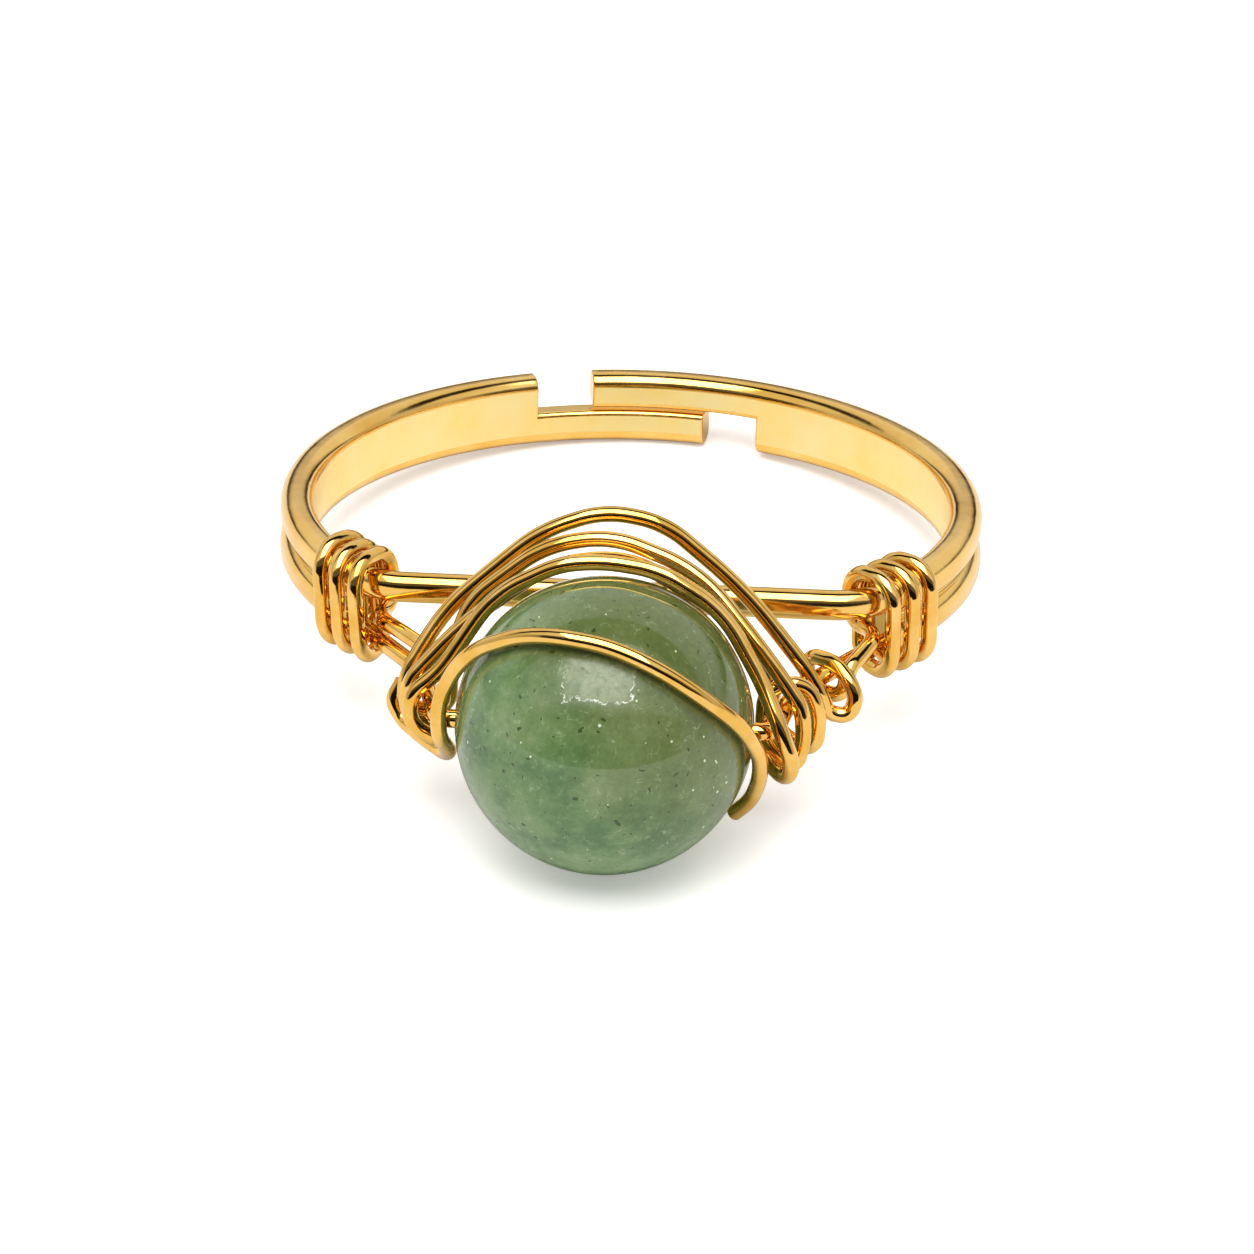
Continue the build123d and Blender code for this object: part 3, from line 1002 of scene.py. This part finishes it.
# %% Wind the thin wires
thin_routes = {
    "wrap_wire": wrap_points,
    "strut_wire": strut_points,
    "front_wire": front_points,
}
for node, points in thin_routes.items():
    wire = bent_wire(
        node + "_wound", points, widest_bends(points), (wire_diameter, wire_diameter),
        wire_radius * nearly_round, wire_gold, thin_wire_steps,
    )
    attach(wire, "root")
    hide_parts(node)


# %% [markdown]
# The band is a strip with a groove pressed along its outside, so it looks like two rounded
# wires side by side, and at the back each half ends at its own place, which makes the step of
# an adjustable ring. The section is turned about the finger's axis. Turning mesh rows by hand
# keeps the flat inner face as its own strip, which takes the satin finish and its painted
# brightness.

# %% The section of one half of the band
hair = 0.003
floor_point = 2
corner_steps = 6


def arc_corner(middle_x, middle_y, radius, start, end, steps):
    """Points along a rounded corner, from one angle to another."""
    turns = [radians(start + (end - start) * n / steps) for n in range(steps + 1)]
    return [(middle_x + radius * cos(a), middle_y + radius * sin(a)) for a in turns]


def half_section():
    """The outline of the upper half of the band, as distances from the axis and rises. It
    starts at the inner wall beside the groove, and its third point is the groove's floor. A
    hair off the outside keeps it within the CAD mesh, whose round sides are flat facets."""
    low = groove_gap / 2
    high = low + half_height
    outer = outer_radius - hair - band_outer_edge
    inner = inner_radius + band_inner_edge
    lower_edge = (outer, low + band_outer_edge, band_outer_edge)
    upper_edge = (outer, high - band_outer_edge, band_outer_edge)
    inner_edge = (inner, high - band_inner_edge, band_inner_edge)
    floor_turn = degrees(asin((band_outer_edge - groove_depth) / band_outer_edge)) - 90
    outline = [(inner_radius, low)]
    outline += arc_corner(*lower_edge, -90, floor_turn, 1)
    outline += arc_corner(*lower_edge, floor_turn, 0, corner_steps)[1:]
    outline += arc_corner(*upper_edge, 0, 90, corner_steps)
    outline += arc_corner(*inner_edge, 90, 180, corner_steps)
    return outline


band_section = half_section()
print("corners in the section of a half:", len(band_section))


# %% [markdown]
# One arm is both halves side by side, joined by the web under the groove. At the shoulder one
# half stops, and the other runs on as a tongue. The sharp edges get a weight here, so that a
# bevel can break them later: fully along the tongue, and less around the cut ends.

# %% Turn the section into an arm
turn_step = 1.0
sharp_angle = 50.0
cap_share = 0.4


def turned_rings(mesh, first, last, side, count):
    """The corners of one half, upper (1) or lower (-1), at even steps between two angles."""
    angles = [radians(first + (last - first) * n / count) for n in range(count + 1)]
    return [
        [mesh.verts.new((x * cos(a), x * sin(a), side * y)) for x, y in band_section]
        for a in angles
    ]


def skin(mesh, loops, around):
    """Faces between neighbouring rings, along pairs of the outline's corners."""
    for before, after in zip(loops, loops[1:]):
        for a, b in around:
            mesh.faces.new((before[a], before[b], after[b], after[a]))


def weigh_edges(mesh, weight, groove_floor, tongue_edge):
    """Give each sharp edge outside the groove its share of the bevel."""
    for edge in mesh.edges:
        start, end = edge.verts
        if start in groove_floor and end in groove_floor:
            continue
        if edge.calc_face_angle(0) > radians(sharp_angle):
            edge[weight] = 1.0 if start in tongue_edge and end in tongue_edge else cap_share


def arm_of_band(name, start, shoulder, end, level):
    """One arm of the band, turned about the axis. Both halves run from the start to the
    shoulder, and the half at this level (1 upper, -1 lower) runs on to the end as a tongue."""
    size = len(band_section)
    all_sides = [(n, (n + 1) % size) for n in range(size)]
    whole = bmesh.new()
    weight = whole.edges.layers.float.new("bevel_weight_edge")
    arm_steps = round(abs(shoulder - start) / turn_step)
    kept = turned_rings(whole, start, shoulder, level, arm_steps)
    other = turned_rings(whole, start, shoulder, -level, arm_steps)
    skin(whole, kept, all_sides[floor_point:])
    skin(whole, other, all_sides[floor_point:])
    for corner in (0, floor_point):
        skin(whole, [[k[corner], o[corner]] for k, o in zip(kept, other)], [(0, 1)])
    front = kept[0][floor_point:] + [kept[0][0], other[0][0]]
    whole.faces.new(front + other[0][:floor_point - 1:-1])
    whole.faces.new(kept[-1][:floor_point + 1] + other[-1][floor_point:] + other[-1][:1])
    tongue_steps = round(abs(end - shoulder) / turn_step)
    beyond = turned_rings(whole, shoulder, end, level, tongue_steps)
    for spare in beyond[0]:
        whole.verts.remove(spare)
    tongue = [kept[-1]] + beyond[1:]
    skin(whole, tongue, all_sides)
    whole.faces.new(tongue[-1])
    bmesh.ops.recalc_face_normals(whole, faces=whole.faces)
    groove_floor = {loop[floor_point] for loop in kept + other}
    weigh_edges(whole, weight, groove_floor, {loop[0] for loop in tongue})
    mesh = bpy.data.meshes.new(name)
    whole.to_mesh(mesh)
    whole.free()
    return mesh


def as_object(name, mesh, *materials):
    """A smooth-shaded object of a mesh, with its materials."""
    for material in materials:
        mesh.materials.append(material)
    mesh.shade_smooth()
    piece = bpy.data.objects.new(name, mesh)
    bpy.context.scene.collection.objects.link(piece)
    return piece


# %% [markdown]
# The arms aren't quite mirror images: the right one's upper half reaches past the middle of
# the back, and so does the left one's lower half, so that they overlap. Angles are counted in
# degrees from the right (0) over the back (90) to the left (180). A bevel breaks the edges, and
# weighted normals keep the flat faces flat in the shine.

# %% Both arms of the band
broken_edge = 0.16
break_steps = 3
flat_weight = 100
wall_reach = 0.001
right_start = arm_front_angle - 90
left_start = 270 - arm_front_angle
arms = {
    "right_arm": (right_start, 90 - arm_end_angle, 90 + tongue_end_angle, 1),
    "left_arm": (left_start, 90 + arm_end_angle, 90 - tongue_end_angle, -1),
}
for name, values in arms.items():
    arm = as_object(name, arm_of_band(name, *values), band_gold, satin_gold_painted_bright)
    edge_break = arm.modifiers.new("edge_break", "BEVEL")
    edge_break.width = broken_edge
    edge_break.segments = break_steps
    edge_break.limit_method = "WEIGHT"
    even_shine = arm.modifiers.new("even_shine", "WEIGHTED_NORMAL")
    even_shine.weight = flat_weight
    made_plain(arm)
    # Faces of the inner wall take the satin gold, whose paler colour is painted brightness.
    for face in arm.data.polygons:
        middle = ring_place.inverted() @ face.center
        inward = hypot(middle.x, middle.y) < inner_radius + wall_reach
        face.material_index = 1 if inward else 0
    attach(arm, "root")
    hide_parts("band")


# %% [markdown]
# The core wire and the bar are soldered into both arms. They are bent like the thin wires, but
# their bends are given. The bar's section is a rounded rectangle, which would show if it
# rolled over, so its height is kept along the finger's axis.

# %% The core wire and the bar behind the bead
core = bent_wire(
    "core_wire", core_points, core_radii, (core_diameter, core_diameter),
    core_radius * nearly_round, wire_gold, thick_wire_steps,
)
bar = bent_wire(
    "cross_bar", bar_points, [bar_bend, bar_bend], (bar_depth, bar_height),
    bar_corner_radius, band_gold, thick_wire_steps, upright=True,
)
for piece in (core, bar):
    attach(piece, "root")
    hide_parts("band")


# %% [markdown]
# The bead is a ball drilled along the core wire. It is turned as on a lathe: an outline from
# the hole's rim round to the other rim, spun about the hole, then the hole's own wall. A plain
# sphere would have its poles at the top and need a cut for the hole. This one has no poles.

# %% Turn the bead
bead_rings, bead_sides = 96, 160


def turned_bead(name, rings, sides):
    """A drilled ball with its hole along X, in the ring's own frame."""
    hole_radius = bead_hole_diameter / 2
    rim = asin(hole_radius / bead_radius)
    verts = []
    for number in range(rings + 1):
        angle = rim + (pi - 2 * rim) * number / rings
        radius = bead_radius * sin(angle)
        for side in range(sides):
            turn = 2 * pi * side / sides
            y = -bead_forward + radius * cos(turn)
            z = -bead_drop + radius * sin(turn)
            verts.append((-bead_radius * cos(angle), y, z))
    faces = []
    for ring in range(rings + 1):
        near = ring * sides
        far = (ring + 1) % (rings + 1) * sides
        for side in range(sides):
            after = (side + 1) % sides
            faces.append((near + side, near + after, far + after, far + side))
    mesh = bpy.data.meshes.new(name)
    mesh.from_pydata(verts, [], faces)
    return mesh


bead = as_object("stone_bead", turned_bead("ball", bead_rings, bead_sides), stone)
made_plain(bead)
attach(bead, "root")
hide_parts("bead")


# %% [markdown]
# The table is a sheet of white paper, only there to catch the soft shadow. It lies on a light
# table: a little glow from below keeps the shadow pale, as in a catalogue photograph. The
# polished gold mirrors a dimmer paper, so that its lower sides keep their colour. More lamps
# would pale the shadow too, but they would also show as spots in the gold.

# %% White paper
paper_half = 0.6
paper_roughness = 0.9
paper_glow = 0.32
fibre_scale, fibre_detail = 400.0, 3.0
paper_dim, paper_bright, paper_mirrored = 0.90, 0.93, 0.72


def white_paper():
    """Paper that glows a little, but is dimmer and has no glow where something mirrors it."""
    material, tree, shader = start_material(
        "white_paper", Roughness=paper_roughness, Emission_Color=(*paper_white, 1),
    )
    fibres = add_node(tree, "ShaderNodeTexNoise", Scale=fibre_scale, Detail=fibre_detail)
    mirrored_ray = tree.nodes.new("ShaderNodeLightPath").outputs["Is Glossy Ray"]
    tint = blend(tree, fibres.outputs["Fac"], grey(paper_dim), grey(paper_bright))
    colour = blend(tree, mirrored_ray, tint, grey(paper_mirrored))
    direct = reckon(tree, "SUBTRACT", 1.0, mirrored_ray)
    glow = reckon(tree, "MULTIPLY", direct, paper_glow)
    tree.links.new(colour, shader.inputs["Base Color"])
    tree.links.new(glow, shader.inputs["Emission Strength"])
    return material


paper_sides = [(-1, -1), (1, -1), (1, 1), (-1, 1)]
paper_corners = [(x * paper_half, y * paper_half, 0) for x, y in paper_sides]
paper_mesh = bpy.data.meshes.new("paper")
paper_mesh.from_pydata(paper_corners, [], [(0, 1, 2, 3)])
paper_mesh.materials.append(white_paper())
paper = bpy.data.objects.new("paper", paper_mesh)
bpy.context.scene.collection.objects.link(paper)
print("side of the paper in metres:", 2 * paper_half)
